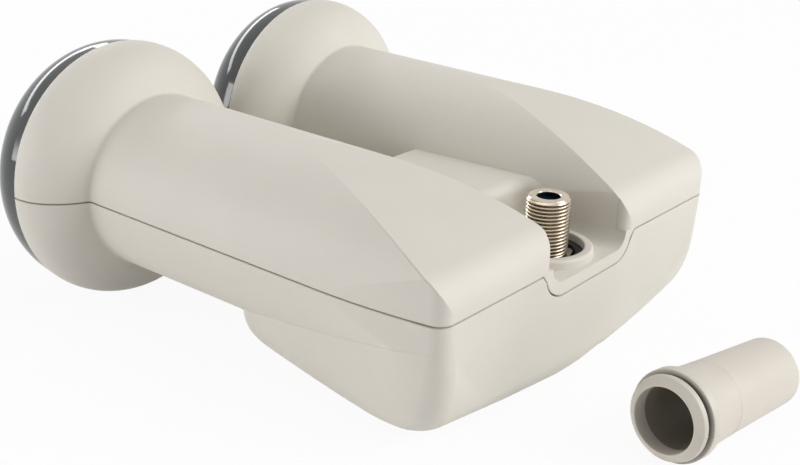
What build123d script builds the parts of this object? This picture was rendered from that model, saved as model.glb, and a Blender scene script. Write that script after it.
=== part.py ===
"""Twin-feed satellite LNB with its loose weather sleeve.

Millimetres, +Z up. The origin is on the axis of the F connector, level with the two horn axes.
The horns look along +Y, and X runs from one horn to the other.
"""
import os
from math import acos, asin, atan2, cos, degrees, radians, sin, sqrt

from build123d import *

# Feeds, necks and flares
feed_spacing = 63.5          # between the two horn axes
neck_diameter = 40.0         # standard clamp size
seam_y = 98.1                # seam between flare and cap
flare_radius = 29.85
flare_length = 13.5          # half axis of the flare's oval along the horn
flare_depth = 16.5           # half axis of the flare's oval across the horn
flare_bulge = 1.2            # widest ring of the flare, behind the seam
flare_crease = 0.8           # small radius where the flare meets the neck

# Housing
wall = 2.2
rear_y = -11.1
rear_corner_radius = 3.4
side_bow_start = 18.0        # the housing's sides bow inwards behind this point
side_bow_radius = 150.0
facet_start = 43.6           # the sloped facet leaves the top of the necks here
facet_radius = 120.0
facet_brow_radius = 8.0
body_front_y = 45.4          # front wall between the necks
web_front_height = 6.0
web_rear_height = 7.8
stern_step = 0.3             # tube ends stand this far inside the hull's rear face
parting_gap = 0.3

# Hull under the necks
hull_depth = 29.85
hull_front_y = 47.3
hull_front_half = 45.1
hull_beam_half = 50.2        # widest place, ahead of the stern
hull_beam_y = 0.5
hull_rear_half = 48.9
hull_side_bow = 0.45         # how far each side bows out between its front and the widest place
hull_draft = 2.5
hull_tilt = 3.0              # the bottom rises towards the horns
hull_pivot_y = -3.3
hull_side_round = 12.3
hull_front_round = 11.3
hull_stern_round = 10.3      # rear bottom edge at the middle
hull_quarter_round = 19.8    # rear bottom edge at the sides
hull_front_corner = 3.7
hull_rear_corner = 3.4       # at the parting line
hull_heel_corner = 6.9       # the same corner at the bottom
hull_round_share = 0.97      # how far each bottom round runs towards the flat bottom
hull_stern_camber = 0.03     # the stern's slight bow in plan
hull_levels = 10
crease_rear = -5.2           # the tubes stand proud of the hull above a line from here
crease_front = -15.3         # to here, at the hull's front

# Recess round the connector
recess_front_y = 13.6
recess_half = 11.9
recess_rear_half = 13.9
recess_floor = -3.0
recess_floor_wall = 2.8
recess_corner = 5.0
recess_scoop = 3.6
recess_lip_round = 2.4
recess_brim_round = 2.6
apron_half = 12.0            # dip of the parting line under the recess
apron_top_half = 17.5
apron_corner = 4.4
collar_bore = 16.4
collar_diameter = 20.2
collar_height = 2.0
collar_edge_round = 0.7

# Caps and seals
cap_radius = 29.4
cap_rim = 2.0
cap_dome = 19.0
cap_knuckle = 12.0           # round shoulder between rim and crown
cap_wall = 1.6
cap_gap = 0.3
cap_skirt = 4.5
cap_skirt_clearance = 0.2
seal_width = 1.3
seal_height = 2.0
seal_squeeze = 0.05

# Casting
guide_bore = 17.5
guide_wall = 1.75
guide_back_y = 5.0
guide_back_wall = 3.0
horn_plate_front = 1.6       # plate with the chokes, behind the seam
horn_plate = 5.0
choke_depth = 3.8
choke_count = 2
choke_rib = 1.3
stop_y = 60.0
stop_collar = 2.0
stop_collar_height = 2.2
tray_half = 38.0
tray_front_y = 36.0
tray_rear_y = -5.4
tray_top = -10.0
tray_wall = 2.0
tray_front_corner = 4.0
tray_rear_corner = 13.0
ledge = 1.3
connector_boss_diameter = 15.6
fit_gap = 0.1

# Board and what it carries
board_drop = 2.5             # board's upper face under the tray's top plate
board_thickness = 1.6
transistor_size = (2.2, 2.2, 1.0)
chip_size = (5.0, 5.0, 0.9)
switch_size = (7.0, 7.0, 1.0)
regulator_size = (6.6, 6.2, 2.3)
crystal_size = (5.0, 3.2, 1.2)
solder_gap = 0.05
stage_places = (0.5, 0.75)   # of the amplifier stages, as shares of the way out to a probe
crystal_place = 0.6          # of the crystal, as the same kind of share

# Lid, gasket and screws
gasket_thickness = 0.8
lid_thickness = 1.5
lid_post = 2.4
lid_post_inset = 8.0         # of the front posts, behind the tray's front
screw_shank = 2.2
screw_boss = 6.0
screw_head = 4.2
screw_head_height = 1.6
screw_cover = 1.4            # metal left over the tip of each screw hole
screw_tip_room = 2.4         # free end of each screw hole
lid_clearance = 0.2          # between the screw heads and the hull's floor

# Probes
probe_diameter = 1.0
bush_diameter = 4.0
vertical_probe_y = 27.0
horizontal_probe_y = 14.0
isolation_y = 20.5
isolation_diameter = 1.5
probe_reach = 6.0            # length of each probe inside the guide
probe_leg_gap = 2.2          # upright of the sideways probe, beside the guide

# Connector, 3/8-32 thread
thread_diameter = 9.5
connector_top = 9.6
connector_flange_top = -3.0
connector_flange = 2.4
connector_flats = 11.0
connector_bore = 5.0
connector_chamfer = 0.6
shank_diameter = 9.0
insulator_recess = 1.2
contact_diameter = 1.2
contact_recess = 3.0
connector_seal_height = 2.8
connector_hex_turn = 22.0     # corner of the hexagon that faces the recess's open side

# Weather sleeve, lying on the same level as the flares and the hull
sleeve_length = 37.0
sleeve_flange_radius = 9.3
sleeve_flange_start = 4.3
sleeve_flange_width = 2.0
sleeve_bead_radius = 8.6
sleeve_bead_start = 1.3
sleeve_bead_width = 1.3
sleeve_rim_radius = 7.5
sleeve_groove_radius = 7.6
sleeve_waist_at = 14.5
sleeve_root_radius = 8.3
sleeve_waist_radius = 7.95
sleeve_end_radius = 7.25
sleeve_wall = 1.1
sleeve_counterbore = 3.4
sleeve_step = 0.35
sleeve_mouth_x = -18.2
sleeve_mouth_y = -40.2
sleeve_heading = -6.7

# Worked-out values
neck_radius = neck_diameter / 2
feed_x = feed_spacing / 2
far = 90.0                   # reach of the cutting blocks
overshoot = 1.0              # how far each drill runs past what it cuts
least_corner = wall / 4
guide_radius = guide_bore / 2
guide_outer = guide_radius + guide_wall
flare_mouth = flare_radius - flare_depth
skirt_share = (cap_skirt - flare_bulge) / (flare_length - wall)
skirt_outer = flare_mouth + (flare_depth - wall) * sqrt(1 - skirt_share ** 2) - cap_skirt_clearance
skirt_inner = skirt_outer - cap_wall
plate_radius = skirt_inner - seal_width
apron_drop = recess_floor - recess_floor_wall
boss_top = connector_flange_top - connector_flange
tray_ceiling = tray_top - tray_wall
board_top = tray_ceiling - board_drop
board_bottom = board_top - board_thickness
hull_rise = (tray_front_y - hull_pivot_y) * sin(radians(hull_tilt))
lid_bottom = screw_head_height + lid_clearance + hull_rise + wall - hull_depth
lid_top = lid_bottom + lid_thickness
tray_rim = lid_top + gasket_thickness
tray_depth = tray_top - tray_rim
screw_tip = tray_ceiling - screw_cover
sides = {"left": -1, "right": 1}


def at_vertex(face, x, y):
    """Corner of a flat face that lies nearest to a point."""
    return face.vertices().sort_by_distance((x, y, 0))[0]


def turned(face, x=0.0):
    """Solid turned about an axis along Y that stands at x."""
    outline = face.face()
    outline = outline if outline.normal_at().Z > 0 else -outline
    return Pos(x, 0, 0) * revolve(outline, Axis.Y)


def slab(x0, x1, y0, y1, z0, z1):
    """Block between two corners."""
    size = (x1 - x0, y1 - y0, z1 - z0)
    return Pos((x0 + x1) / 2, (y0 + y1) / 2, (z0 + z1) / 2) * Box(*size)


def rod(radius, x, y, z0, z1):
    """Upright cylinder between two heights."""
    return Pos(x, y, (z0 + z1) / 2) * Cylinder(radius, z1 - z0)


def feed_form(x, inset, rear):
    """Flare, neck and rear tube of one feed, outside or shrunk to the inside of its wall."""
    neck = neck_radius - inset
    depth = flare_depth - inset
    length = flare_length - inset
    foot = degrees(acos((neck - flare_mouth) / depth))
    brow = degrees(asin(flare_bulge / length))
    centre = (flare_mouth, seam_y - flare_bulge)
    curve = EllipticalCenterArc(centre, depth, length, -foot, arc_size=foot + brow)
    front = curve @ 1
    face = make_face([curve, Polyline(front, (0, front.Y), (0, rear), (neck, rear), curve @ 0)])
    if not inset:
        face = fillet(at_vertex(face, neck, (curve @ 0).Y), flare_crease)
    return turned(face, x)


def plan_form(inset, rear):
    """Upright envelope of the housing's rear, with bowed sides and round corners."""
    half = feed_x + neck_radius - inset
    radius = side_bow_radius - inset
    rear_half = half - radius + sqrt(radius ** 2 - (side_bow_start - rear) ** 2)
    right = TangentArc((half, side_bow_start), (rear_half, rear), tangent=(0, -1))
    left = TangentArc((-half, side_bow_start), (-rear_half, rear), tangent=(0, -1))
    front = Polyline((half, side_bow_start), (far, side_bow_start), (far, seam_y + far),
                     (-far, seam_y + far), (-far, side_bow_start), (-half, side_bow_start))
    face = make_face([right, left, front, Line((rear_half, rear), (-rear_half, rear))])
    corner = max(rear_corner_radius - inset, least_corner)
    for side in sides.values():
        face = fillet(at_vertex(face, side * rear_half, rear), corner)
    return extrude(face, amount=far, both=True)


def side_form(inset):
    """Envelope seen from the side: rear wall, rounded brow and sloped facet."""
    rear = rear_y + inset
    radius = facet_radius - inset
    centre_z = neck_radius - facet_radius
    edge = centre_z + sqrt(radius ** 2 - (rear - facet_start) ** 2)
    crest = centre_z + radius
    facet = TangentArc((facet_start, crest), (rear, edge), tangent=(-1, 0))
    rest = Polyline((rear, edge), (rear, -far), (seam_y + far, -far), (seam_y + far, far),
                    (facet_start, far), (facet_start, crest))
    face = make_face([facet, rest])
    face = fillet(at_vertex(face, rear, edge), max(facet_brow_radius - inset, least_corner))
    return extrude(Plane.YZ * face, amount=far, both=True)


def web_form(inset):
    """Bridge between the two rear tubes."""
    front = body_front_y - inset
    foot = hull_front_y - inset
    rear = rear_y + inset
    outline = Polyline((foot, -wall), (foot, 0), (front, web_front_height - inset),
                       (rear, web_rear_height - inset), (rear, -wall), close=True)
    return extrude(Plane.YZ * make_face(outline), amount=feed_x, both=True)


def rounding(depth, radius, floor):
    """How far a wall has turned inwards at a depth, on a round that ends at the floor."""
    turn = max(0.0, depth - (floor - radius)) / radius * hull_round_share
    return radius * (1 - sqrt(1 - turn ** 2))


def hull_section(depth, inset):
    """Slice of the hull: bowed sides, a straight front and a stern that rounds more at its ends."""
    floor = hull_depth - inset
    lean = inset + depth * sin(radians(hull_draft))
    side = lean + rounding(depth, hull_side_round - inset, floor)
    front = hull_front_y - lean - rounding(depth, hull_front_round - inset, floor)
    stern = rear_y + inset + rounding(depth, hull_stern_round - inset, floor)
    quarter = rear_y + inset + rounding(depth, hull_quarter_round - inset, floor)
    beam_y = hull_beam_y + quarter - rear_y
    heel = hull_rear_corner + (hull_heel_corner - hull_rear_corner) * depth / floor
    front_half = hull_front_half - side
    beam_half = hull_beam_half - side
    rear_half = hull_rear_half - side
    waist = ((front_half + beam_half) / 2 + hull_side_bow, (front + beam_y) / 2)
    bow = hull_stern_camber
    edges = [Line((front_half, front), (-front_half, front))]
    for turn in sides.values():
        flank = ThreePointArc((turn * front_half, front), (turn * waist[0], waist[1]),
                              (turn * beam_half, beam_y))
        edges.append(flank)
        edges.append(TangentArc(flank @ 1, (turn * rear_half, quarter + bow), tangent=flank % 1))
    edges.append(ThreePointArc((rear_half, quarter + bow), (0, stern), (-rear_half, quarter + bow)))
    face = make_face(edges)
    for turn in sides.values():
        face = fillet(at_vertex(face, turn * front_half, front), hull_front_corner - inset)
        face = fillet(at_vertex(face, turn * rear_half, quarter), max(heel - inset, least_corner))
    tilt = radians(hull_tilt) * depth / floor
    normal = (0, -sin(tilt), cos(tilt))
    plane = Plane(origin=(0, hull_pivot_y, -depth), x_dir=(1, 0, 0), z_dir=normal)
    return plane * (Pos(0, -hull_pivot_y) * face)


def hull_form(inset):
    """Deep lower body, lofted through level slices that crowd towards the bottom."""
    floor = hull_depth - inset
    depths = [floor * sin(radians(90 * step / hull_levels)) for step in range(hull_levels + 1)]
    return loft([hull_section(depth, inset) for depth in depths])


def feeds_form(inset, rear):
    """Both feeds, trimmed to the housing's bowed sides."""
    pair = feed_form(-feed_x, inset, rear) + feed_form(feed_x, inset, rear)
    return pair & plan_form(inset, rear)


def upper_form(inset):
    """Form of the housing above the parting line, outside or shrunk to the inside of its wall."""
    body = feeds_form(inset, rear_y + inset) + (web_form(inset) & plan_form(inset, rear_y + inset))
    return body & side_form(inset)


def crease_form():
    """Space over the line above which the tubes stand proud of the hull's sides."""
    outline = Polyline((rear_y, crease_rear), (body_front_y, crease_front), (body_front_y, -far),
                       (seam_y + far, -far), (seam_y + far, far), (rear_y, far), close=True)
    return extrude(Plane.YZ * make_face(outline), amount=far, both=True)


def lower_form(inset):
    """Form of the housing below the parting line, outside or shrunk to the inside of its wall."""
    feeds = feeds_form(inset, rear_y + inset + stern_step)
    if not inset:
        feeds = feeds & crease_form()
    return feeds + hull_form(inset)


def recess_form(spread, floor):
    """Pocket round the connector, open to the rear, or the tub that walls it."""
    front = recess_front_y + spread
    half = recess_half + spread
    rear_half = recess_rear_half + spread
    back = rear_y - far
    face = make_face(Polyline((rear_half, rear_y), (half, front), (-half, front), (-rear_half, rear_y),
                              (-rear_half, back), (rear_half, back), close=True))
    for turn in sides.values():
        face = fillet(at_vertex(face, turn * half, front), recess_corner + spread)
    body = extrude(Pos(0, 0, floor) * face, amount=far)
    scooped = body.edges().filter_by(lambda edge: abs(edge.center().Z - floor) < parting_gap / 2)
    scooped = scooped.filter_by(lambda edge: edge.center().Y > back + wall)
    return fillet(scooped, recess_scoop + spread)


def recess_lip(turn):
    """What is cut away to round the upright edge between the recess and the rear wall."""
    start = (turn * recess_rear_half, rear_y + recess_lip_round)
    end = (turn * (recess_rear_half + recess_lip_round), rear_y)
    inside = turn * (recess_rear_half - recess_lip_round)
    arc = TangentArc(end, start, tangent=(-turn, 0))
    rest = Polyline(start, (inside, start[1]), (inside, rear_y - wall), (end[0], rear_y - wall), end)
    return extrude(Pos(0, 0, recess_floor + recess_scoop) * make_face([arc, rest]), amount=far)


def recess_brim():
    """What is cut away to round the recess's edge on the bridge, between the tubes."""
    walled = web_form(0) - recess_form(0, recess_floor)
    rim = walled.edges().filter_by(lambda edge: edge.center().Z > web_front_height - wall)
    rim = rim.filter_by(lambda edge: rear_y + wall < edge.center().Y < recess_front_y + wall)
    rim = rim.filter_by(lambda edge: abs(edge.center().X) < recess_rear_half)
    return walled - fillet(rim, recess_brim_round) - feeds_form(0, rear_y)


def apron_form(spread):
    """Dip of the parting line through the rear wall, under the recess."""
    drop = apron_drop - spread
    outline = Polyline((apron_top_half + spread, parting_gap), (apron_half + spread, drop),
                       (-apron_half - spread, drop), (-apron_top_half - spread, parting_gap), close=True)
    face = make_face(outline)
    for turn in sides.values():
        face = fillet(at_vertex(face, turn * (apron_half + spread), drop), apron_corner)
    return Pos(0, rear_y + wall, 0) * extrude(Plane.XZ * face, amount=wall + spread)


def cradle(x):
    """Pair of ribs that grip one waveguide on both sides of its stop collar."""
    pair = []
    for turn in sides.values():
        middle = stop_y + turn * (stop_collar / 2 + fit_gap + wall / 2)
        bore = guide_outer + fit_gap
        face = make_face(Polyline((bore, middle - wall / 2), (neck_radius - wall / 2, middle - wall / 2),
                                  (neck_radius - wall / 2, middle + wall / 2), (bore, middle + wall / 2),
                                  close=True))
        pair.append(turned(face, x))
    return pair[0] + pair[1]


def shells():
    """Upper and lower half of the housing."""
    pocket = recess_form(0, recess_floor)
    tub = recess_form(wall, apron_drop) & slab(-far, far, rear_y, far, -far, far)
    upper_space = slab(-far, far, -far, 2 * far, parting_gap / 2, far)
    lower_space = slab(-far, far, -far, 2 * far, -far, -parting_gap / 2)
    cradles = cradle(-feed_x) + cradle(feed_x)

    outside = upper_form(0)
    upper = (outside - upper_form(wall) + cradles) & upper_space
    upper = upper + (tub & outside) + (tub & lower_space) + apron_form(0)
    collar = rod(collar_diameter / 2, 0, 0, recess_floor - wall, recess_floor + collar_height)
    crown = collar.edges().sort_by(Axis.Z)[-1]
    upper = upper - pocket - recess_brim() - recess_lip(-1) - recess_lip(1)
    upper = upper + fillet(crown, collar_edge_round)
    upper = upper - rod(collar_bore / 2, 0, 0, apron_drop - wall, recess_floor + wall + collar_height)

    inside = lower_form(wall)
    lower = (lower_form(0) - inside + cradles) & lower_space
    lower = lower - (recess_form(wall + parting_gap, apron_drop - parting_gap) + apron_form(parting_gap))
    for x in (-tray_half / 2, tray_half / 2):
        rib = slab(x - wall / 2, x + wall / 2, tray_rear_y + wall, tray_front_y - wall, -far, lid_bottom)
        lower = lower + (rib & inside)
    return upper, lower


def dome_arcs(rim, inset):
    """Shoulder and crown of a cap in section, from its rim to its axis."""
    knuckle = cap_knuckle - inset
    reach = cap_radius - cap_knuckle
    crown = (reach ** 2 + cap_dome ** 2 - cap_knuckle ** 2) / (2 * (cap_dome - cap_knuckle))
    lean = atan2(crown - cap_dome, reach)
    meet = (reach + knuckle * cos(lean), rim + knuckle * sin(lean))
    shoulder = TangentArc((cap_radius - inset, rim), meet, tangent=(0, 1))
    return shoulder, TangentArc(meet, (0, rim + cap_dome - inset), tangent=shoulder % 1)


def feed_cap(x):
    """Hollow dome with a rim and a skirt that plugs into the flare."""
    base = seam_y + cap_gap
    rim = base + cap_rim
    outer = dome_arcs(rim, 0)
    inner = dome_arcs(rim, cap_wall)
    foot = seam_y - cap_skirt
    skirt = Polyline(outer[0] @ 0, (cap_radius, base), (skirt_outer, base), (skirt_outer, foot),
                     (skirt_inner, foot), (skirt_inner, rim), inner[0] @ 0)
    return turned(make_face([*outer, *inner, Line(outer[1] @ 1, inner[1] @ 1), skirt]), x)


def cap_seal(x):
    """Ring between the cap's skirt and the horn plate."""
    front = seam_y - horn_plate_front - seal_height / 2
    inner = plate_radius + seal_squeeze
    outer = skirt_inner - seal_squeeze
    middle = Pos((inner + outer) / 2, front - seal_height / 2)
    return turned(middle * Rectangle(outer - inner, seal_height), x)


def horn(x):
    """Waveguide with a closed back, a stop collar and a front plate with ring chokes."""
    front = seam_y - horn_plate_front
    back = front - horn_plate
    inner_back = guide_back_y + guide_back_wall
    outline = Polyline((0, guide_back_y), (guide_outer, guide_back_y), (guide_outer, back),
                       (plate_radius, back), (plate_radius, front), (guide_radius, front),
                       (guide_radius, inner_back), (0, inner_back), close=True)
    body = turned(make_face(outline), x)
    pitch = (plate_radius - guide_outer) / choke_count
    for ring in range(choke_count):
        inner = guide_outer + ring * pitch
        width = pitch - choke_rib
        groove = Pos(inner + width / 2, front) * Rectangle(width, 2 * choke_depth)
        body = body - turned(groove, x)
    stop = Pos((guide_radius + guide_outer + stop_collar_height) / 2, stop_y)
    stop = stop * Rectangle(guide_wall + stop_collar_height, stop_collar)
    return body + turned(stop, x)


def tray_plan(inset):
    """Outline of the circuit tray."""
    half = tray_half - inset
    front = tray_front_y - inset
    rear = tray_rear_y + inset
    face = Pos(0, (front + rear) / 2) * Rectangle(2 * half, front - rear)
    for turn in sides.values():
        face = fillet(at_vertex(face, turn * half, front), tray_front_corner - inset)
        face = fillet(at_vertex(face, turn * half, rear), tray_rear_corner - inset)
    return face


def screw_spots():
    """Places of the lid screws, just inside the tray's wall."""
    inset = tray_wall + screw_boss / 2 - ledge
    half = tray_half - inset
    front = tray_front_y - inset
    back = tray_rear_y + tray_rear_corner
    spots = []
    for turn in sides.values():
        spots += [(turn * half, front), (turn * half, back), (turn * half / 3, front)]
    return spots


def probe_legs():
    """Places where the probes pass through the tray's top plate."""
    legs = []
    for turn in sides.values():
        legs.append((turn * feed_x, vertical_probe_y))
        legs.append((turn * (feed_x - guide_outer - probe_leg_gap), horizontal_probe_y))
    return legs


def chassis():
    """One casting: two horns with waveguides over a tray for the circuit board."""
    body = extrude(Pos(0, 0, tray_rim) * tray_plan(0), amount=tray_depth)
    body = body - extrude(Pos(0, 0, tray_rim) * tray_plan(tray_wall), amount=tray_depth - tray_wall)
    shelf = tray_plan(tray_wall) - tray_plan(tray_wall + ledge)
    body = body + extrude(Pos(0, 0, board_top) * shelf, amount=board_drop)
    for x, y in screw_spots():
        body = body + rod(screw_boss / 2, x, y, tray_rim, tray_ceiling)
        body = body - rod(screw_shank / 2, x, y, tray_rim - overshoot, screw_tip)
    body = body + rod(connector_boss_diameter / 2, 0, 0, tray_ceiling, boss_top)
    for turn in sides.values():
        body = body - turned(Pos(guide_radius / 2, (guide_back_y + seam_y) / 2)
                             * Rectangle(guide_radius, seam_y - guide_back_y), turn * feed_x)
        body = body + horn(turn * feed_x)
    shank_bore = shank_diameter / 2 + fit_gap / 2
    bush_bore = bush_diameter / 2 + fit_gap / 2
    body = body - rod(shank_bore, 0, 0, tray_ceiling - overshoot, boss_top + overshoot)
    for x, y in probe_legs():
        body = body - rod(bush_bore, x, y, tray_ceiling - board_drop, -guide_radius / 2)
    for turn in sides.values():
        leg = feed_x - guide_outer - probe_leg_gap
        side_hole = Pos(turn * (leg + guide_outer / 2), horizontal_probe_y, 0) * Rot(0, 90, 0)
        body = body - side_hole * Cylinder(bush_bore, guide_outer)
        body = body - rod(isolation_diameter / 2 + fit_gap / 2, turn * feed_x, isolation_y,
                          -guide_radius - guide_wall / 2, guide_radius + guide_wall / 2)
    return body


def board():
    """Circuit board with room for the screw bosses and holes for the pins."""
    body = extrude(Pos(0, 0, board_bottom) * tray_plan(tray_wall + fit_gap), amount=board_thickness)
    low = board_bottom - overshoot
    high = board_top + overshoot
    for x, y in screw_spots():
        body = body - rod(screw_boss / 2 + fit_gap, x, y, low, high)
    for x, y in probe_legs():
        body = body - rod(probe_diameter / 2 + fit_gap / 2, x, y, low, high)
    return body - rod(contact_diameter / 2 + fit_gap / 2, 0, 0, low, high)


def package(x, y, size):
    """Flat component under the board."""
    top = board_bottom - solder_gap
    return slab(x - size[0] / 2, x + size[0] / 2, y - size[1] / 2, y + size[1] / 2, top - size[2], top)


def components():
    """Groups of components on the board's lower face."""
    inward = feed_x - guide_outer - probe_leg_gap
    stages = []
    for turn in sides.values():
        for row in (vertical_probe_y, horizontal_probe_y):
            for place in stage_places:
                stages.append(package(turn * inward * place, row, transistor_size))
    chips = [package(turn * inward / 4, isolation_y, chip_size) for turn in sides.values()]
    return {
        "amplifier_transistors": Compound(stages),
        "converter_chips": Compound(chips),
        "switch_chip": package(0, isolation_y - chip_size[1] - switch_size[1], switch_size),
        "voltage_regulator": package(-inward / 2, 0, regulator_size),
        "crystal_can": package(inward * crystal_place, isolation_y, crystal_size),
    }


def lid_pieces():
    """Lid with posts against the board, its gasket and its screws."""
    lid = extrude(Pos(0, 0, lid_bottom) * tray_plan(0), amount=lid_thickness)
    for turn in sides.values():
        for y in (tray_rear_y + tray_wall + lid_post, tray_front_y - lid_post_inset):
            lid = lid + rod(lid_post / 2, turn * tray_half / 2, y, lid_top, board_bottom - solder_gap)
    gasket = tray_plan(0) - tray_plan(tray_wall)
    for x, y in screw_spots():
        gasket = gasket + Pos(x, y) * Circle(screw_boss / 2)
    gasket = gasket & tray_plan(0)
    screws = []
    for x, y in screw_spots():
        hole = Pos(x, y) * Circle(screw_shank / 2 + fit_gap / 2)
        gasket = gasket - hole
        lid = lid - rod(screw_shank / 2 + fit_gap / 2, x, y, lid_bottom - overshoot, lid_top + overshoot)
        shank = rod(screw_shank / 2 - fit_gap / 4, x, y, lid_bottom, screw_tip - screw_tip_room)
        screws.append(shank + rod(screw_head / 2, x, y, lid_bottom - screw_head_height, lid_bottom))
    return lid, extrude(Pos(0, 0, lid_top) * gasket, amount=gasket_thickness), Compound(screws)


def vertical_probe(side):
    """Straight pin from the board up into the waveguide."""
    tip = probe_reach - guide_radius
    return rod(probe_diameter / 2, side * feed_x, vertical_probe_y, board_bottom, tip)


def horizontal_probe(side):
    """Pin from the board up beside the waveguide and sideways into it."""
    leg = feed_x - guide_outer - probe_leg_gap
    tip = feed_x - guide_radius + probe_reach
    radius = probe_diameter / 2
    upright = rod(radius, side * leg, horizontal_probe_y, board_bottom, 0)
    middle = Pos(side * (leg + tip) / 2, horizontal_probe_y, 0)
    cross = middle * Rot(0, 90, 0) * Cylinder(radius, tip - leg)
    return upright + cross + Pos(side * leg, horizontal_probe_y, 0) * Sphere(radius)


def probe_bushes():
    """Insulating bushes round the probes where they pass through metal."""
    bushes = []
    bore = probe_diameter / 2 + fit_gap / 2
    for index, (x, y) in enumerate(probe_legs()):
        top = -guide_radius if index % 2 == 0 else tray_top
        bush = rod(bush_diameter / 2, x, y, tray_ceiling, top)
        bushes.append(bush - rod(bore, x, y, tray_ceiling - overshoot, top + overshoot))
    for side in sides.values():
        middle = side * (feed_x - guide_radius - guide_wall / 2)
        tube = Cylinder(bush_diameter / 2, guide_wall) - Cylinder(bore, 2 * guide_wall)
        bushes.append(Pos(middle, horizontal_probe_y, 0) * Rot(0, 90, 0) * tube)
    return Compound(bushes)


def isolation_pin(side):
    """Post across the waveguide between its two probes."""
    reach = guide_radius + guide_wall / 2
    return rod(isolation_diameter / 2, side * feed_x, isolation_y, -reach, reach)


def connector():
    """Threaded body at its thread's outer size, insulator and centre contact."""
    low = tray_ceiling - overshoot
    body = rod(thread_diameter / 2, 0, 0, connector_flange_top, connector_top)
    body = chamfer(body.edges().sort_by(Axis.Z)[-1], connector_chamfer)
    hexagon = RegularPolygon(connector_flats / 2, 6, major_radius=False, rotation=connector_hex_turn)
    body = body + extrude(Pos(0, 0, boss_top) * hexagon, amount=connector_flange)
    body = body + rod(shank_diameter / 2, 0, 0, tray_ceiling, boss_top)
    body = body - rod(connector_bore / 2, 0, 0, low, connector_top + overshoot)
    plug_top = connector_top - insulator_recess
    insulator = rod(connector_bore / 2 - fit_gap / 4, 0, 0, tray_ceiling, plug_top)
    insulator = insulator - rod(contact_diameter / 2 + fit_gap / 4, 0, 0, low, connector_top)
    contact = rod(contact_diameter / 2, 0, 0, board_bottom, connector_top - contact_recess)
    return body, insulator, contact


def connector_seal():
    """Ring on the casting's boss that fills the gap between the hexagon and the collar."""
    ring = Circle(collar_bore / 2 - seal_squeeze) - Circle(connector_flats / sqrt(3) + seal_squeeze)
    return extrude(Pos(0, 0, boss_top) * ring, amount=connector_seal_height)


def weather_sleeve():
    """Sleeve with a snap bead, a flange and a tapered tube, lying on its flange and far end."""
    bead_end = sleeve_bead_start + sleeve_bead_width
    flange_end = sleeve_flange_start + sleeve_flange_width
    bore_mouth = sleeve_rim_radius - sleeve_wall + sleeve_step
    bore = sleeve_rim_radius - sleeve_wall
    outline = Polyline(
        (sleeve_rim_radius, 0), (sleeve_bead_radius, sleeve_bead_start), (sleeve_bead_radius, bead_end),
        (sleeve_groove_radius, bead_end + sleeve_wall / 4), (sleeve_groove_radius, sleeve_flange_start),
        (sleeve_flange_radius, sleeve_flange_start), (sleeve_flange_radius, flange_end),
        (sleeve_root_radius, flange_end), (sleeve_waist_radius, sleeve_waist_at),
        (sleeve_end_radius, sleeve_length), (sleeve_end_radius - sleeve_wall, sleeve_length),
        (bore, sleeve_counterbore), (bore_mouth, sleeve_counterbore), (bore_mouth, 0), close=True)
    face = make_face(outline)
    body = revolve(face, Axis.Y)
    run = sleeve_length - flange_end
    dip = atan2(sleeve_flange_radius - sleeve_end_radius, run)
    height = flange_end * sin(dip) + sleeve_flange_radius * cos(dip) - hull_depth
    turn = sleeve_heading - 90
    return Pos(sleeve_mouth_x, sleeve_mouth_y, height) * Rot(0, 0, turn) * Rot(-degrees(dip), 0, 0) * body


def all_pieces():
    """Every node of the part by name."""
    upper, lower = shells()
    lid, gasket, screws = lid_pieces()
    body, insulator, contact = connector()
    pieces = {
        "upper_shell": upper,
        "lower_shell": lower,
        "chassis_casting": chassis(),
        "chassis_lid": lid,
        "lid_gasket": gasket,
        "lid_screws": screws,
        "circuit_board": board(),
        "probe_bushes": probe_bushes(),
        "f_connector_body": body,
        "f_connector_insulator": insulator,
        "f_connector_contact": contact,
        "connector_seal": connector_seal(),
        "weather_sleeve": weather_sleeve(),
    }
    pieces.update(components())
    for name, side in sides.items():
        pieces[f"feed_cap_{name}"] = feed_cap(side * feed_x)
        pieces[f"cap_seal_{name}"] = cap_seal(side * feed_x)
        pieces[f"vertical_probe_{name}"] = vertical_probe(side)
        pieces[f"horizontal_probe_{name}"] = horizontal_probe(side)
        pieces[f"isolation_pin_{name}"] = isolation_pin(side)
    return pieces


os.makedirs("parts", exist_ok=True)
for name, shape in all_pieces().items():
    export_step(shape, f"parts/{name}.step")
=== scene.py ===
"""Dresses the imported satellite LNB: a finish for every node, a cut thread, a rounded sleeve and a plain studio."""
import math

import bmesh
import bpy
from bpy.props import FloatProperty, FloatVectorProperty, IntProperty, PointerProperty
from mathutils import Matrix, Vector


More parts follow.
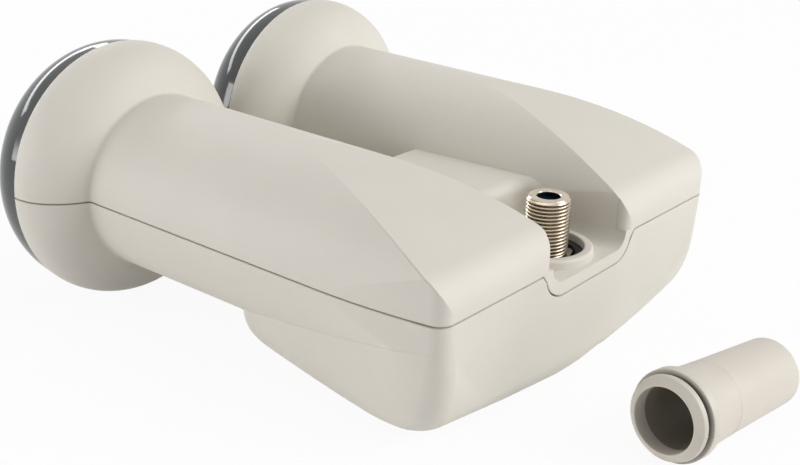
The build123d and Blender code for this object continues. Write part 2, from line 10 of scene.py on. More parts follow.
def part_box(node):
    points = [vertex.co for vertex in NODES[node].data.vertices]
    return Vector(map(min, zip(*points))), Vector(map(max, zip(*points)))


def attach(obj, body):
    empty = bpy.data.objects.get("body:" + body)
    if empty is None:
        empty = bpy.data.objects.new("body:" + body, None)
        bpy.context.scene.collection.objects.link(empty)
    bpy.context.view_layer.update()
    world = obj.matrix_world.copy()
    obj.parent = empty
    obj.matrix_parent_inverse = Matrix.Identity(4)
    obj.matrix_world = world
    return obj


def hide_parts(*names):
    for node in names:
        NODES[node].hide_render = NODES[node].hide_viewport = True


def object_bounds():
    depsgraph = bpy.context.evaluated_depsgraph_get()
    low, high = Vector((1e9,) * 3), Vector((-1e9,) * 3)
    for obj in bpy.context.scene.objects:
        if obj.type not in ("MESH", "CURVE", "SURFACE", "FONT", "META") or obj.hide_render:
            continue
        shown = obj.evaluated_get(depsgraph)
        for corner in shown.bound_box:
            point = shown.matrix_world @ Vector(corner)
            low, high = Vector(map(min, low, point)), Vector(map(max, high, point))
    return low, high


bl_info = {
    "name": "Satellite LNB Dresser",
    "version": (1, 0, 0),
    "blender": (4, 5, 0),
    "location": "3D View > Sidebar > LNB",
    "description": "Finishes, cut thread, weather sleeve, stage and camera for the packed satellite LNB",
    "category": "Object",
}

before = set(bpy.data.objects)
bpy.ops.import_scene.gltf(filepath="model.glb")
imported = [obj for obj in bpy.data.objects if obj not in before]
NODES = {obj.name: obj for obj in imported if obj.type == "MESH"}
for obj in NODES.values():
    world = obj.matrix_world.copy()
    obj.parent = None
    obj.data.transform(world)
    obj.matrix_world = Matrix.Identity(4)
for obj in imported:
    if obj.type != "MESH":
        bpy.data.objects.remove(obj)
CAD_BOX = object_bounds()
FLOOR_HEIGHT = CAD_BOX[0].z
MM = 0.001
IMAGE_WIDTH = 800

# Vertices nearer than this, in metres, are joined
WELD = 1e-7
# Most of a side that the rounding of one corner may take
CORNER_SHARE = 0.48
# Edges that bend more than this stay sharp
SHARP_CONNECTOR = math.radians(38)
SHARP_SLEEVE = math.radians(50)

# Range in which noise has nearly all of its values
NOISE_LOW = 0.3
NOISE_HIGH = 0.7
BEVEL_SAMPLES = 6
HOLLOW_SAMPLES = 8

# Material slots of the two pieces made here
MAIN_SLOT = 0
# The bore slot carries painted shade in the unlit bores of both pieces
BORE_SHADE_SLOT = 1
THREAD_SLOT = 2

# One turn of the thread, as shares of its pitch and of its depth
THREAD_PROFILE = (
    (0.0, 0.0), (0.08, 0.0), (0.2, 0.28), (0.44, 0.94), (0.5, 1.0), (0.6, 1.0), (0.66, 0.94), (0.9, 0.28),
)
# The hexagon's segments, the share of its corners that is left when they are turned off, and the slope of that cut
HEXAGON_SEGMENTS = 72
HEXAGON_CORNER = 0.75
HEXAGON_SLOPE = math.radians(30)
# How far the hexagon reaches in under the thread's crest, in thread depths
HEXAGON_REACH = 1.5
# Half the width of a mould seam, as a share of half a segment of the sleeve
SEAM_SHARE = 0.6

# Half the width of the floor, and its distance below the part
FLOOR_REACH = 3.0
FLOOR_GAP = 0.02 * MM


def length(name, description, default):
    """Length property, given in metres."""
    return FloatProperty(name=name, description=description, default=default, min=0.0, unit="LENGTH", precision=5)


def share(name, description, default):
    """Property from 0 to 1."""
    return FloatProperty(name=name, description=description, default=default, min=0.0, max=1.0, subtype="FACTOR")


def colour(name, description, default):
    """Colour property, in linear light."""
    return FloatVectorProperty(name=name, description=description, default=default, size=3, min=0.0, max=1.0,
                               subtype="COLOR")


class LNB_PG_housing(bpy.types.PropertyGroup):
    """Finish of the two moulded shells."""
    tint: colour("Colour", "Colour of the moulded shells", (0.70, 0.665, 0.595))
    roughness: share("Roughness", "Roughness of the moulded skin", 0.58)
    grain: length("Grain", "Size of the spark-eroded grain", 0.32 * MM)
    grain_depth: length("Grain depth", "Depth of the grain", 0.012 * MM)
    flow: length("Flow marks", "Size of the faint marks left by the melt", 14 * MM)
    edge: length("Edge", "Rounding of the shell's sharp edges", 0.55 * MM)


class LNB_PG_caps(bpy.types.PropertyGroup):
    """Finish of the dome caps over the horns."""
    tint: colour("Colour", "Colour of the dome caps", (0.047, 0.053, 0.053))
    roughness: share("Roughness", "Roughness of the polished caps", 0.07)
    ripple: length("Ripple", "Size of the slow ripple of a polished moulding", 9 * MM)


class LNB_PG_connector(bpy.types.PropertyGroup):
    """Cut thread of the connector, and its nickel plate."""
    diameter: length("Thread diameter", "Outer diameter of the thread", 9.5 * MM)
    pitch: length("Pitch", "Advance of the thread in one turn", 25.4 / 32 * MM)
    depth: length("Thread depth", "Depth of the cut thread", 0.46 * MM)
    chamfer: length("Chamfer", "Lead-in chamfer at the top", 0.6 * MM)
    flats: length("Across flats", "Width of the hexagon across its flats", 11.0 * MM)
    flange: length("Hexagon height", "Height of the hexagon", 2.4 * MM)
    flange_top: FloatProperty(name="Hexagon top", description="Height of the hexagon's upper face",
                              default=-3.0 * MM, unit="LENGTH", precision=5)
    hexagon_turn: FloatProperty(name="Hexagon turn", description="Bearing of one of the hexagon's corners",
                                subtype="ANGLE", default=math.radians(22.0))
    bore: length("Bore", "Diameter of the bore", 5.0 * MM)
    segments: IntProperty(name="Segments", description="Segments round the thread", default=96, min=24)
    tint: colour("Colour", "Colour of the plate", (0.54, 0.475, 0.38))
    # Painted shade that darkens the plate in the roots of the thread
    root_shade_tint: colour("Root colour", "Colour of the plate in the roots of the thread", (0.22, 0.165, 0.105))
    roughness: share("Roughness", "Roughness of the plate", 0.22)


class LNB_PG_sleeve(bpy.types.PropertyGroup):
    """Form and finish of the loose weather sleeve."""
    extent: length("Length", "Length of the sleeve", 37.0 * MM)
    opening: length("Opening radius", "Radius of the opening at the mouth", 6.6 * MM)
    rim: length("Rim radius", "Radius of the rim that enters the collar", 7.0 * MM)
    crease: length("Crease radius", "Radius of the crease in front of the bead", 8.35 * MM)
    crease_at: length("Crease place", "Distance from the mouth to the crease", 1.1 * MM)
    bead: length("Bead radius", "Radius of the snap bead", 8.65 * MM)
    bead_at: length("Bead place", "Distance from the mouth to the bead's rear edge", 2.2 * MM)
    groove: length("Groove radius", "Radius of the groove behind the bead", 7.0 * MM)
    flange: length("Flange radius", "Radius of the flange", 9.3 * MM)
    flange_start: length("Flange start", "Distance from the mouth to the flange", 3.0 * MM)
    flange_width: length("Flange width", "Width of the flange", 2.5 * MM)
    root: length("Root radius", "Radius of the tube behind the flange", 8.5 * MM)
    waist: length("Waist radius", "Radius where the taper changes", 7.95 * MM)
    waist_at: length("Waist place", "Distance from the mouth to the waist", 14.5 * MM)
    tail: length("Tail radius", "Radius at the far end", 7.25 * MM)
    wall: length("Wall", "Thickness of the tube", 1.1 * MM)
    lead_in: length("Lead-in", "Length of the narrow bore behind the opening", 3.4 * MM)
    step: length("Step", "Extra radius of the bore behind the lead-in", 0.25 * MM)
    seam: length("Seam", "Height of the seams left by the mould", 0.09 * MM)
    ridge: length("Ridge", "Height of the line round the waist", 0.04 * MM)
    seam_turn: FloatProperty(name="Seam turn", description="Bearing of the first of the two seams", subtype="ANGLE",
                             default=math.radians(-2.0))
    mouth: FloatVectorProperty(name="Mouth", description="Place of the mouth on the floor plan", unit="LENGTH",
                               size=2, default=(-18.2 * MM, -40.2 * MM))
    heading: FloatProperty(name="Heading", description="Bearing of the sleeve on the floor", subtype="ANGLE",
                           default=math.radians(-6.7))
    segments: IntProperty(name="Segments", description="Segments round the sleeve", default=144, min=24)
    tint: colour("Colour", "Colour of the weather sleeve", (0.66, 0.61, 0.535))
    # Painted shade that darkens the sleeve's unlit bore
    bore_shade_tint: colour("Bore colour", "Colour of the sleeve's unlit bore", (0.29, 0.265, 0.215))
    roughness: share("Roughness", "Roughness of the weather sleeve", 0.42)


class LNB_PG_studio(bpy.types.PropertyGroup):
    """Floor, lamps and camera."""
    floor_tint: colour("Floor", "Colour of the floor", (0.93, 0.93, 0.93))
    floor_white: share("Floor white", "Share of plain white that the camera sees in the floor", 0.93)
    ambient: FloatProperty(name="Ambient", description="Strength of the room's even light", default=0.28, min=0.0)
    key: FloatProperty(name="Key lamp", description="Power of the large lamp behind the rear", default=8.7, min=0.0,
                       subtype="POWER")
    top: FloatProperty(name="Top lamp", description="Power of the lamp overhead", default=1.9, min=0.0,
                       subtype="POWER")
    fill: FloatProperty(name="Fill lamp", description="Power of the low lamp at the near side", default=3.0, min=0.0,
                        subtype="POWER")
    strip: FloatProperty(name="Strip lamp", description="Power of the strip that the caps mirror", default=2.0,
                         min=0.0, subtype="POWER")
    azimuth: FloatProperty(name="Azimuth", description="Camera's bearing round the part", subtype="ANGLE",
                           default=math.radians(-51.111))
    elevation: FloatProperty(name="Elevation", description="Camera's height above the horizon", subtype="ANGLE",
                             default=math.radians(22.107))
    roll: FloatProperty(name="Roll", description="Camera's tilt in the picture", subtype="ANGLE",
                        default=math.radians(1.76))
    distance: length("Distance", "Distance from the camera to its target", 297.2 * MM)
    target: FloatVectorProperty(name="Target", description="Point that the camera aims beside", unit="LENGTH",
                                size=3, default=(0.0, 38.1 * MM, 0.0))
    aside: FloatVectorProperty(name="Aside", description="Shift of the target across and up the picture",
                               unit="LENGTH", size=2, default=(-0.831 * MM, -8.766 * MM))
    focal: FloatProperty(name="Focal length", description="Focal length in picture widths", min=0.1,
                         default=1314.613 / IMAGE_WIDTH)


GROUPS = {
    "lnb_housing": LNB_PG_housing,
    "lnb_caps": LNB_PG_caps,
    "lnb_connector": LNB_PG_connector,
    "lnb_sleeve": LNB_PG_sleeve,
    "lnb_studio": LNB_PG_studio,
}


class Finish:
    """A material whose detail comes from nodes in the object's own space."""

    def __init__(self, name, tint, roughness, metallic=0.0):
        self.material = bpy.data.materials.new(name)
        self.material.use_nodes = True
        self.tree = self.material.node_tree
        self.shader = self.tree.nodes["Principled BSDF"]
        self.tint = tint
        self.roughness = roughness
        self.shader.inputs["Base Color"].default_value = (*tint, 1.0)
        self.shader.inputs["Roughness"].default_value = roughness
        self.shader.inputs["Metallic"].default_value = metallic
        self.place = self.tree.nodes.new("ShaderNodeTexCoord").outputs["Object"]

    def node(self, kind, **inputs):
        """New node with plain values on its sockets."""
        made = self.tree.nodes.new(kind)
        for name, value in inputs.items():
            made.inputs[name.replace("_", " ")].default_value = value
        return made

    def link(self, source, target):
        """Joins two sockets."""
        self.tree.links.new(source, target)

    def stretched(self, stretch):
        """The object's space, stretched along its axes."""
        mapping = self.node("ShaderNodeMapping")
        mapping.inputs["Scale"].default_value = stretch
        self.link(self.place, mapping.inputs["Vector"])
        return mapping.outputs["Vector"]

    def noise(self, size, detail=2.0, stretch=None):
        """Noise whose features have that size in metres."""
        made = self.node("ShaderNodeTexNoise", Scale=1.0 / size, Detail=detail)
        self.link(self.place if stretch is None else self.stretched(stretch), made.inputs["Vector"])
        return made.outputs["Fac"]

    def vary_colour(self, source, amount):
        """Colour that goes darker and paler by that share along the source."""
        ramp = self.node("ShaderNodeValToRGB")
        ends = ramp.color_ramp.elements
        ends[0].position = NOISE_LOW
        ends[1].position = NOISE_HIGH
        ends[0].color = (*[c * (1.0 - amount) for c in self.tint], 1.0)
        ends[1].color = (*[min(1.0, c * (1.0 + amount)) for c in self.tint], 1.0)
        self.link(source, ramp.inputs["Fac"])
        self.link(ramp.outputs["Color"], self.shader.inputs["Base Color"])

    def vary_roughness(self, source, less, more):
        """Roughness that goes down by one amount and up by another along the source."""
        ranged = self.node("ShaderNodeMapRange", From_Min=NOISE_LOW, From_Max=NOISE_HIGH,
                           To_Min=self.roughness - less, To_Max=self.roughness + more)
        self.link(source, ranged.inputs["Value"])
        self.link(ranged.outputs["Result"], self.shader.inputs["Roughness"])

    def relief(self, source, depth, edge=None):
        """Bump of that depth in metres, with the edges rounded by that radius."""
        bump = self.node("ShaderNodeBump", Strength=1.0, Distance=depth)
        self.link(source, bump.inputs["Height"])
        if edge is not None:
            bevel = self.node("ShaderNodeBevel", Radius=edge)
            bevel.samples = BEVEL_SAMPLES
            self.link(bevel.outputs["Normal"], bump.inputs["Normal"])
        self.link(bump.outputs["Normal"], self.shader.inputs["Normal"])

    def paint_hollow_shade(self, reach):
        """Paints shade into a varied colour in hollows of that width, darker where the surface is shut in."""
        hollow = self.node("ShaderNodeAmbientOcclusion", Distance=reach)
        hollow.samples = HOLLOW_SAMPLES
        self.link(self.shader.inputs["Base Color"].links[0].from_socket, hollow.inputs["Color"])
        self.link(hollow.outputs["Color"], self.shader.inputs["Base Color"])

    def give(self, *objects):
        """Puts the finish on the objects in place of what they had."""
        for thing in objects:
            # Clearing also resets the slots of the faces, so a mesh without materials is left as it is
            if thing.data.materials:
                thing.data.materials.clear()
            thing.data.materials.append(self.material)


def new_piece(name, mesh, slot, *nodes):
    """Links a mesh as a piece that rides on the part and stands for CAD nodes."""
    piece = bpy.data.objects.new(name, mesh)
    bpy.context.scene.collection.objects.link(piece)
    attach(piece, "root")
    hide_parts(*nodes)
    return piece


def ring(form, radius, height, count, start=0.0):
    """A ring of vertices round the vertical axis."""
    turns = [start + 2 * math.pi * i / count for i in range(count)]
    return [form.verts.new((radius * math.cos(t), radius * math.sin(t), height)) for t in turns]


def rounded(corners, steps=4):
    """Closed section whose corners, each with its own radius, are turned into arcs."""
    made = []
    places = [Vector(corner[:2]) for corner in corners]
    for i, here in enumerate(places):
        back = places[i - 1] - here
        ahead = places[(i + 1) % len(places)] - here
        half = back.angle(ahead) / 2
        cut = min(corners[i][2] / math.tan(half), CORNER_SHARE * back.length, CORNER_SHARE * ahead.length)
        centre = here + (back.normalized() + ahead.normalized()).normalized() * (cut / math.cos(half))
        start = here + back.normalized() * cut - centre
        end = here + ahead.normalized() * cut - centre
        for step in range(steps + 1):
            spoke = start.slerp(end, step / steps).normalized() * start.length
            made.append(centre + spoke)
    return made


def bridge(form, lower, upper, slot=MAIN_SLOT):
    """A band of quads between two rings of the same count."""
    count = len(lower)
    for i in range(count):
        j = (i + 1) % count
        face = form.faces.new((lower[i], lower[j], upper[j], upper[i]))
        face.material_index = slot


def finished_mesh(name, form, sharp_angle):
    """Mesh from a bmesh, with outward normals, smooth but for its sharp edges."""
    bmesh.ops.remove_doubles(form, verts=form.verts[:], dist=WELD)
    bmesh.ops.dissolve_degenerate(form, edges=form.edges[:], dist=WELD)
    bmesh.ops.recalc_face_normals(form, faces=form.faces[:])
    for edge in form.edges:
        edge.smooth = len(edge.link_faces) == 2 and edge.calc_face_angle(0.0) < sharp_angle
    for face in form.faces:
        face.smooth = True
    mesh = bpy.data.meshes.new(name)
    form.to_mesh(mesh)
    form.free()
    return mesh


class LNB_OT_housing(bpy.types.Operator):
    """Gives the two shells their fine-grained moulded plastic"""
    bl_idname = "lnb.housing"
    bl_label = "Housing"

    def execute(self, context):
        look = context.scene.lnb_housing
        finish = Finish("moulded_housing", look.tint, look.roughness)
        grain = finish.noise(look.grain, detail=3.0)
        flow = finish.noise(look.flow, detail=4.0)
        finish.vary_colour(flow, amount=0.014)
        finish.vary_roughness(grain, less=0.05, more=0.06)
        finish.relief(grain, look.grain_depth, edge=look.edge)
        finish.give(NODES["upper_shell"], NODES["lower_shell"])
        return {"FINISHED"}


class LNB_OT_caps(bpy.types.Operator):
    """Gives the dome caps their polished dark plastic"""
    bl_idname = "lnb.caps"
    bl_label = "Dome caps"

    def execute(self, context):
        look = context.scene.lnb_caps
        finish = Finish("polished_cap", look.tint, look.roughness)
        ripple = finish.noise(look.ripple, detail=1.0)
        finish.vary_colour(ripple, amount=0.08)
        finish.vary_roughness(finish.noise(2 * MM), less=0.02, more=0.03)
        finish.relief(ripple, depth=0.03 * MM, edge=0.4 * MM)
        finish.give(NODES["feed_cap_left"], NODES["feed_cap_right"])
        return {"FINISHED"}


class LNB_OT_connector(bpy.types.Operator):
    """Cuts the thread on the connector, plates it and gives its insulator a dark plastic"""
    bl_idname = "lnb.connector"
    bl_label = "Connector"

    def shank(self, look):
        """Radius of the plain shank, a little inside the thread's root."""
        return look.diameter / 2 - look.depth - look.depth / 8

    def thread_form(self, form, look, low, high):
        """Thread wall as one helical strip, cut off flat at both ends."""
        root = look.diameter / 2 - look.depth
        shank = self.shank(look)
        count = look.segments
        turns = math.ceil((high - low) / look.pitch) + 2
        rows = []
        for turn in range(-1, turns):
            for at, rise in THREAD_PROFILE:
                row = []
                for i in range(count + 1):
                    height = low + look.pitch * (turn + at + i / count)
                    radius = root + look.depth * rise
                    height = min(max(height, low), high)
                    radius = min(radius, look.diameter / 2 - look.chamfer + (high - height))
                    radius = min(radius, shank + (height - low))
                    angle = 2 * math.pi * i / count
                    row.append(form.verts.new((radius * math.cos(angle), radius * math.sin(angle), height)))
                rows.append(row)
        for lower, upper in zip(rows, rows[1:]):
            for i in range(count):
                face = form.faces.new((lower[i], lower[i + 1], upper[i + 1], upper[i]))
                if face.calc_center_median().z < high - look.chamfer:
                    face.material_index = THREAD_SLOT

    def tube_form(self, form, look, bottom, low, high):
        """Closes the thread's wall; each corner names the slot of the band that starts there."""
        shank = self.shank(look)
        bore = look.bore / 2
        lip = look.chamfer / 3
        # The band from the bore's lip to the bottom takes the bore slot, whose dark plug material is painted shade
        # in the unlit bore
        section = [
            (look.diameter / 2 - look.chamfer, high, MAIN_SLOT), (bore + lip, high, MAIN_SLOT),
            (bore, high - lip, BORE_SHADE_SLOT), (bore, bottom, MAIN_SLOT), (shank, bottom, MAIN_SLOT),
            (shank, low, MAIN_SLOT),
        ]
        rings = [ring(form, radius, height, look.segments) for radius, height, _ in section]
        for lower, upper, (_, _, slot) in zip(rings, rings[1:], section):
            bridge(form, lower, upper, slot)

    def hexagon_form(self, form, look, base):
        """Hexagon with its corners turned off, open where the tube goes through it."""
        count = HEXAGON_SEGMENTS
        top = base + look.flange
        corner = look.flats / math.sqrt(3)
        inner = look.diameter / 2 - look.depth * HEXAGON_REACH
        turned = look.flats / 2 + (corner - look.flats / 2) * HEXAGON_CORNER

        def outline(limit, height):
            made = []
            for i in range(count):
                around = 2 * math.pi * i / count
                angle = look.hexagon_turn + around
                radius = min(look.flats / 2 / math.cos(around % (math.pi / 3) - math.pi / 6), limit)
                made.append(form.verts.new((radius * math.cos(angle), radius * math.sin(angle), height)))
            return made

        drop = (corner - turned) * math.tan(HEXAGON_SLOPE)
        rings = [
            ring(form, inner, base, count, look.hexagon_turn), outline(turned, base), outline(corner, base + drop),
            outline(corner, top - drop), outline(turned, top), ring(form, inner, top, count, look.hexagon_turn),
        ]
        for lower, upper in zip(rings, rings[1:] + rings[:1]):
            bridge(form, lower, upper)

    def shade_thread_roots(self, finish, look):
        """Plate with painted shade in the thread's roots, going dull brown there and staying bright on the crests.
        """
        apart = finish.node("ShaderNodeSeparateXYZ")
        finish.link(finish.place, apart.inputs["Vector"])
        flat = finish.node("ShaderNodeCombineXYZ")
        finish.link(apart.outputs["X"], flat.inputs["X"])
        finish.link(apart.outputs["Y"], flat.inputs["Y"])
        reach = finish.node("ShaderNodeVectorMath")
        reach.operation = "LENGTH"
        finish.link(flat.outputs["Vector"], reach.inputs[0])
        crest = look.diameter / 2
        rise = finish.node("ShaderNodeMapRange", From_Min=crest - look.depth, From_Max=crest)
        finish.link(reach.outputs["Value"], rise.inputs["Value"])
        ramp = finish.node("ShaderNodeValToRGB")
        ends = ramp.color_ramp.elements
        ends[0].color = (*look.root_shade_tint, 1.0)
        ends[1].color = (*look.tint, 1.0)
        finish.link(rise.outputs["Result"], ramp.inputs["Fac"])
        finish.link(ramp.outputs["Color"], finish.shader.inputs["Base Color"])

    def execute(self, context):
        look = context.scene.lnb_connector
        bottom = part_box("f_connector_body")[0].z
        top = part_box("f_connector_body")[1].z
        form = bmesh.new()
        self.thread_form(form, look, look.flange_top, top)
        self.tube_form(form, look, bottom, look.flange_top, top)
        self.hexagon_form(form, look, look.flange_top - look.flange)
        mesh = finished_mesh("threaded_connector", form, SHARP_CONNECTOR)
        piece = new_piece("threaded_connector", mesh, "connector", "f_connector_body")
        plate = Finish("nickel_plate", look.tint, look.roughness, metallic=1.0)
        plate.vary_colour(plate.noise(1.5 * MM), amount=0.1)
        # The thread's copy of the plate carries the painted shade in its roots
        thread = Finish("nickel_thread", look.tint, look.roughness, metallic=1.0)
        self.shade_thread_roots(thread, look)
        for finish in (plate, thread):
            finish.vary_roughness(finish.noise(0.5 * MM, detail=4.0), less=0.06, more=0.1)
            finish.relief(finish.noise(0.12 * MM, stretch=(0.25, 0.25, 3.0)), depth=0.004 * MM)
        plug_and_bore_shade = Finish("insulator_and_bore_shade", tint=(0.006, 0.012, 0.022), roughness=0.3)
        plug_and_bore_shade.vary_colour(plug_and_bore_shade.noise(0.8 * MM), amount=0.3)
        plug_and_bore_shade.relief(plug_and_bore_shade.noise(0.3 * MM), depth=0.01 * MM)
        plug_and_bore_shade.shader.inputs["Specular IOR Level"].default_value = 0.05
        plate.give(piece)
        # The dark plug material is the insulator's own colour, and painted shade on the connector's bore band
        piece.data.materials.append(plug_and_bore_shade.material)
        piece.data.materials.append(thread.material)
        plug_and_bore_shade.give(NODES["f_connector_insulator"])
        return {"FINISHED"}


class LNB_OT_sleeve(bpy.types.Operator):
    """Turns the loose weather sleeve with soft edges and mould seams, in moulded plastic"""
    bl_idname = "lnb.sleeve"
    bl_label = "Weather sleeve"

    def section(self, look):
        """Corners of the sleeve's wall as radius, distance from the mouth and rounding."""
        flange_end = look.flange_start + look.flange_width
        sharp = look.wall / 60
        fine = look.wall / 6
        soft = look.wall / 2
        return [
            (look.opening, 0.0, fine), (look.rim, 0.0, fine), (look.crease, look.crease_at, sharp),
            (look.bead, look.bead_at, fine), (look.groove, look.bead_at + sharp, fine),
            (look.groove, look.flange_start, fine),
            (look.flange, look.flange_start, fine), (look.flange, flange_end, soft), (look.root, flange_end, soft),
            (look.waist, look.waist_at - look.ridge, sharp), (look.waist + look.ridge, look.waist_at, sharp),
            (look.waist, look.waist_at + look.ridge, sharp), (look.tail, look.extent, soft),
            (look.tail - look.wall, look.extent, fine), (look.opening + look.step, look.lead_in + fine, sharp),
            (look.opening, look.lead_in, fine),
        ]

    def turns(self, look):
        """Bearings of the section's copies with the height of the seam at each, crowded at the two seams."""
        beside = SEAM_SHARE * math.pi / look.segments
        made = []
        for i in range(look.segments):
            bearing = look.seam_turn + 2 * math.pi * i / look.segments
            if i % (look.segments // 2) == 0:
                made += [(bearing - beside, 0.0), (bearing, look.seam), (bearing + beside, 0.0)]
            else:
                made.append((bearing, 0.0))
        return made

    def sleeve_form(self, form, look):
        """Turned wall, lying on its flange and its tail, with the wide part of its bore in a slot of its own for its
        painted shade.
        """
        flange_end = look.flange_start + look.flange_width
        dip = math.atan2(look.flange - look.tail, look.extent - flange_end)
        height = FLOOR_HEIGHT + flange_end * math.sin(dip) + look.flange * math.cos(dip)
        place = Matrix.Translation((look.mouth[0], look.mouth[1], height))
        place = place @ Matrix.Rotation(look.heading - math.pi / 2, 4, "Z") @ Matrix.Rotation(-dip, 4, "X")
        wall = rounded(self.section(look))
        rings = []
        for radius, along in wall:
            made = []
            for bearing, rise in self.turns(look):
                reach = radius + (rise if radius > look.rim and along < flange_end else 0.0)
                spot = Vector((reach * math.cos(bearing), along, reach * math.sin(bearing)))
                made.append(form.verts.new(place @ spot))
            rings.append(made)
        for lower, upper in zip(rings, rings[1:] + rings[:1]):
            bridge(form, lower, upper)
        away = place.inverted()
        # Faces deep in the bore take the slot of the painted shade
        for face in form.faces:
            middle = away @ face.calc_center_median()
            inside = look.lead_in < middle.y < look.extent - look.wall / 4
            if inside and math.hypot(middle.x, middle.z) < look.tail - look.wall / 2:
                face.material_index = BORE_SHADE_SLOT

    def execute(self, context):
        look = context.scene.lnb_sleeve
        form = bmesh.new()
        self.sleeve_form(form, look)
        mesh = finished_mesh("turned_sleeve", form, SHARP_SLEEVE)
        piece = new_piece("turned_sleeve", mesh, "sleeve", "weather_sleeve")
        finish = Finish("moulded_sleeve", look.tint, look.roughness)
        grain = finish.noise(0.3 * MM, detail=3.0)
        finish.vary_colour(finish.noise(8 * MM), amount=0.015)
        # Painted shade: ambient occlusion darkens the colour in the groove behind the bead
        finish.paint_hollow_shade(look.bead - look.groove)
        finish.vary_roughness(grain, less=0.05, more=0.06)
        finish.relief(grain, depth=0.008 * MM, edge=0.2 * MM)
        finish.give(piece)
        # Painted shade: the bore's darker colour stands in for the light that hardly reaches it
        bore = Finish("sleeve_bore_shade", look.bore_shade_tint, look.roughness)
        blotches = bore.noise(0.6 * MM, detail=4.0)
        bore.vary_colour(blotches, amount=0.06)
        bore.vary_roughness(blotches, less=0.0, more=0.15)
        bore.relief(blotches, depth=0.01 * MM)
        piece.data.materials.append(bore.material)
        return {"FINISHED"}


class LNB_OT_works(bpy.types.Operator):
    """Gives the works inside the housing their finishes"""
    bl_idname = "lnb.works"
    bl_label = "Works inside"

    def metal(self, name, nodes, tint, roughness, grain, depth):
        """Bare or plated metal with a grain of that size."""
        finish = Finish(name, tint, roughness, metallic=1.0)
        source = finish.noise(grain, detail=5.0)
        finish.vary_colour(finish.noise(grain * 6), amount=0.1)
        finish.vary_roughness(source, less=0.08, more=0.1)
        finish.relief(source, depth)
        finish.give(*[NODES[n] for n in nodes])

    def plastic(self, name, nodes, tint, roughness, grain, depth):
        """Moulded or coated surface with a grain of that size."""
        finish = Finish(name, tint, roughness)
        source = finish.noise(grain, detail=3.0)
        finish.vary_colour(finish.noise(grain * 8), amount=0.12)
        finish.vary_roughness(source, less=0.06, more=0.08)
        finish.relief(source, depth)
        finish.give(*[NODES[n] for n in nodes])

    def board(self):
        """Solder mask with the copper tracks raised under it."""
        finish = Finish("solder_mask", tint=(0.010, 0.075, 0.028), roughness=0.32)
        tracks = finish.node("ShaderNodeTexBrick", Scale=1.0, Mortar_Size=0.25 * MM, Brick_Width=4.2 * MM,
                             Row_Height=1.4 * MM)
        tracks.inputs["Color1"].default_value = (0.010, 0.085, 0.030, 1.0)
        tracks.inputs["Color2"].default_value = (0.013, 0.105, 0.040, 1.0)
        tracks.inputs["Mortar"].default_value = (0.006, 0.045, 0.018, 1.0)
        finish.link(finish.place, tracks.inputs["Vector"])
        finish.link(tracks.outputs["Color"], finish.shader.inputs["Base Color"])
        finish.relief(tracks.outputs["Fac"], depth=0.03 * MM)
        finish.give(NODES["circuit_board"])

    def execute(self, context):
        sides = ("left", "right")
        probes = [f"{kind}_{side}" for kind in ("vertical_probe", "horizontal_probe") for side in sides]
        posts = [f"isolation_pin_{side}" for side in sides]
        seals = [f"cap_seal_{side}" for side in sides]
        chips = ["amplifier_transistors", "converter_chips", "switch_chip", "voltage_regulator"]
        self.metal("cast_aluminium", ["chassis_casting"],
                   tint=(0.50, 0.51, 0.52), roughness=0.46, grain=0.7 * MM, depth=0.03 * MM)
        self.metal("pressed_sheet", ["chassis_lid"],
                   tint=(0.60, 0.61, 0.62), roughness=0.32, grain=0.4 * MM, depth=0.01 * MM)
        self.metal("zinc_plate", ["lid_screws"],
                   tint=(0.52, 0.53, 0.52), roughness=0.3, grain=0.3 * MM, depth=0.01 * MM)
        self.metal("plated_can", ["crystal_can"],
                   tint=(0.58, 0.58, 0.57), roughness=0.26, grain=0.5 * MM, depth=0.008 * MM)
        self.metal("gilt_wire", ["f_connector_contact", *probes, *posts],
                   tint=(0.66, 0.45, 0.16), roughness=0.24, grain=0.2 * MM, depth=0.004 * MM)
        self.plastic("sealing_rubber", ["lid_gasket", "connector_seal", *seals],
                     tint=(0.006, 0.006, 0.0065), roughness=0.7, grain=0.3 * MM, depth=0.02 * MM)
        self.plastic("chip_package", chips,
                     tint=(0.014, 0.014, 0.016), roughness=0.5, grain=0.08 * MM, depth=0.006 * MM)
        self.plastic("turned_bush", ["probe_bushes"],
                     tint=(0.80, 0.80, 0.77), roughness=0.38, grain=0.25 * MM, depth=0.006 * MM)
        self.board()
        return {"FINISHED"}


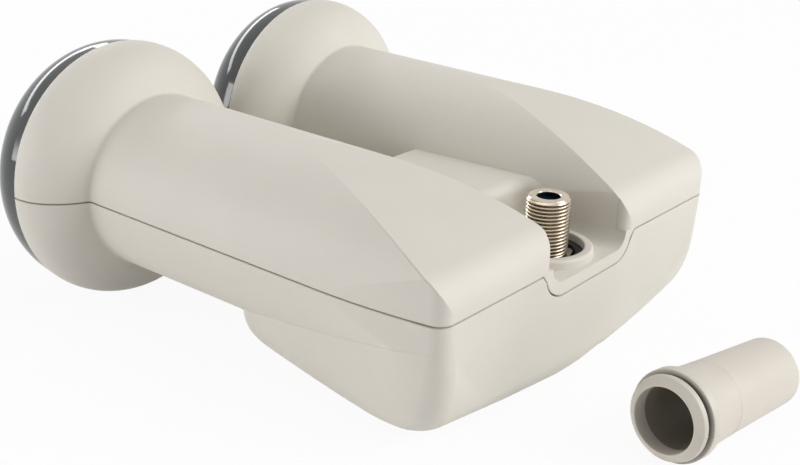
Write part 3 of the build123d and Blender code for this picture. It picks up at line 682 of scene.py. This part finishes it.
class LNB_OT_studio(bpy.types.Operator):
    """Makes the floor, the lamps, the background and the camera"""
    bl_idname = "lnb.studio"
    bl_label = "Studio"

    def seen(self, tree):
        """Socket that is 1 where the camera, a mirror or glass looks."""
        path = tree.nodes.new("ShaderNodeLightPath")
        total = path.outputs["Is Camera Ray"]
        for name in ("Is Glossy Ray", "Is Transmission Ray"):
            larger = tree.nodes.new("ShaderNodeMath")
            larger.operation = "MAXIMUM"
            tree.links.new(total, larger.inputs[0])
            tree.links.new(path.outputs[name], larger.inputs[1])
            total = larger.outputs[0]
        return total

    def floor(self, look):
        """Pale floor that keeps the part's soft shadow."""
        form = bmesh.new()
        bmesh.ops.create_grid(form, x_segments=8, y_segments=8, size=FLOOR_REACH)
        mesh = bpy.data.meshes.new("studio_floor")
        form.to_mesh(mesh)
        form.free()
        floor = bpy.data.objects.new("studio_floor", mesh)
        floor.location.z = FLOOR_HEIGHT - FLOOR_GAP
        bpy.context.scene.collection.objects.link(floor)
        material = bpy.data.materials.new("floor_paper")
        material.use_nodes = True
        tree = material.node_tree
        tree.nodes.clear()
        matt = tree.nodes.new("ShaderNodeBsdfDiffuse")
        matt.inputs["Color"].default_value = (*look.floor_tint, 1.0)
        white = tree.nodes.new("ShaderNodeEmission")
        blend = tree.nodes.new("ShaderNodeMixShader")
        part = tree.nodes.new("ShaderNodeMath")
        part.operation = "MULTIPLY"
        part.inputs[1].default_value = look.floor_white
        output = tree.nodes.new("ShaderNodeOutputMaterial")
        tree.links.new(self.seen(tree), part.inputs[0])
        tree.links.new(part.outputs[0], blend.inputs["Fac"])
        tree.links.new(matt.outputs[0], blend.inputs[1])
        tree.links.new(white.outputs[0], blend.inputs[2])
        tree.links.new(blend.outputs[0], output.inputs["Surface"])
        mesh.materials.append(material)

    def world(self, look):
        """White behind the part, with a softer even light on it."""
        world = bpy.data.worlds.new("studio_world")
        bpy.context.scene.world = world
        world.use_nodes = True
        tree = world.node_tree
        background = tree.nodes["Background"]
        background.inputs["Color"].default_value = (1.0, 1.0, 1.0, 1.0)
        level = tree.nodes.new("ShaderNodeMapRange")
        level.inputs["To Min"].default_value = look.ambient
        level.inputs["To Max"].default_value = 1.0
        tree.links.new(self.seen(tree), level.inputs["Value"])
        tree.links.new(level.outputs["Result"], background.inputs["Strength"])

    def lamp(self, name, power, place, aim, width, height):
        """Rectangular soft lamp that points at a spot."""
        data = bpy.data.lights.new(name, "AREA")
        data.energy = power
        data.shape = "RECTANGLE"
        data.size = width
        data.size_y = height
        lamp = bpy.data.objects.new(name, data)
        lamp.location = place
        lamp.visible_camera = False
        lamp.rotation_euler = (Vector(aim) - Vector(place)).to_track_quat("-Z", "Y").to_euler()
        bpy.context.scene.collection.objects.link(lamp)

    def camera(self, look):
        """Camera at the photograph's angle."""
        a = look.azimuth
        e = look.elevation
        back = Vector((math.sin(a) * math.cos(e), -math.cos(a) * math.cos(e), math.sin(e)))
        level = Vector((math.cos(a), math.sin(a), 0.0))
        upward = back.cross(level)
        place = Vector(look.target) + level * look.aside[0] + upward * look.aside[1] + back * look.distance
        across = level * math.cos(look.roll) + upward * math.sin(look.roll)
        upright = upward * math.cos(look.roll) - level * math.sin(look.roll)
        data = bpy.data.cameras.new("studio_camera")
        data.sensor_width = 36.0
        data.lens = data.sensor_width * look.focal
        data.clip_start = 1 * MM
        data.clip_end = 20.0
        camera = bpy.data.objects.new("studio_camera", data)
        camera.matrix_world = Matrix((
            (across.x, upright.x, back.x, place.x),
            (across.y, upright.y, back.y, place.y),
            (across.z, upright.z, back.z, place.z),
            (0.0, 0.0, 0.0, 1.0),
        ))
        bpy.context.scene.collection.objects.link(camera)
        bpy.context.scene.camera = camera

    def execute(self, context):
        look = context.scene.lnb_studio
        context.scene.view_settings.view_transform = "Standard"
        self.floor(look)
        self.world(look)
        middle = (0.0, 0.03, 0.0)
        caps = (0.0, 0.1, 0.0)
        self.lamp("key_lamp", look.key, place=(0.42, -0.82, 0.52), aim=middle, width=0.7, height=0.7)
        self.lamp("top_lamp", look.top, place=(0.05, 0.15, 1.0), aim=middle, width=0.9, height=0.9)
        self.lamp("fill_lamp", look.fill, place=(-0.70, 0.55, 0.16), aim=middle, width=0.5, height=0.3)
        self.lamp("strip_lamp", look.strip, place=(0.08, 0.88, 0.37), aim=caps, width=0.95, height=0.11)
        self.camera(look)
        return {"FINISHED"}


OPERATORS = (LNB_OT_studio, LNB_OT_housing, LNB_OT_caps, LNB_OT_connector, LNB_OT_sleeve, LNB_OT_works)


class LNB_PT_dresser(bpy.types.Panel):
    """Lists the steps that dress the part"""
    bl_idname = "LNB_PT_dresser"
    bl_label = "Satellite LNB"
    bl_space_type = "VIEW_3D"
    bl_region_type = "UI"
    bl_category = "LNB"

    def draw(self, context):
        column = self.layout.column()
        for step in OPERATORS:
            column.operator(step.bl_idname)
        for group in GROUPS:
            box = self.layout.box()
            values = getattr(context.scene, group)
            for name in values.bl_rna.properties.keys():
                if name not in ("rna_type", "name"):
                    box.prop(values, name)


def register():
    """Adds the classes and the settings to Blender."""
    for group in GROUPS.values():
        bpy.utils.register_class(group)
    for step in OPERATORS:
        bpy.utils.register_class(step)
    bpy.utils.register_class(LNB_PT_dresser)
    for name, group in GROUPS.items():
        setattr(bpy.types.Scene, name, PointerProperty(type=group))


def unregister():
    """Takes the classes and the settings out again."""
    for name in GROUPS:
        delattr(bpy.types.Scene, name)
    bpy.utils.unregister_class(LNB_PT_dresser)
    for step in reversed(OPERATORS):
        bpy.utils.unregister_class(step)
    for group in reversed(GROUPS.values()):
        bpy.utils.unregister_class(group)


def main():
    """Dresses the part."""
    register()
    bpy.ops.lnb.studio()
    bpy.ops.lnb.housing()
    bpy.ops.lnb.caps()
    bpy.ops.lnb.connector()
    bpy.ops.lnb.sleeve()
    bpy.ops.lnb.works()


if __name__ == "__main__":
    main()
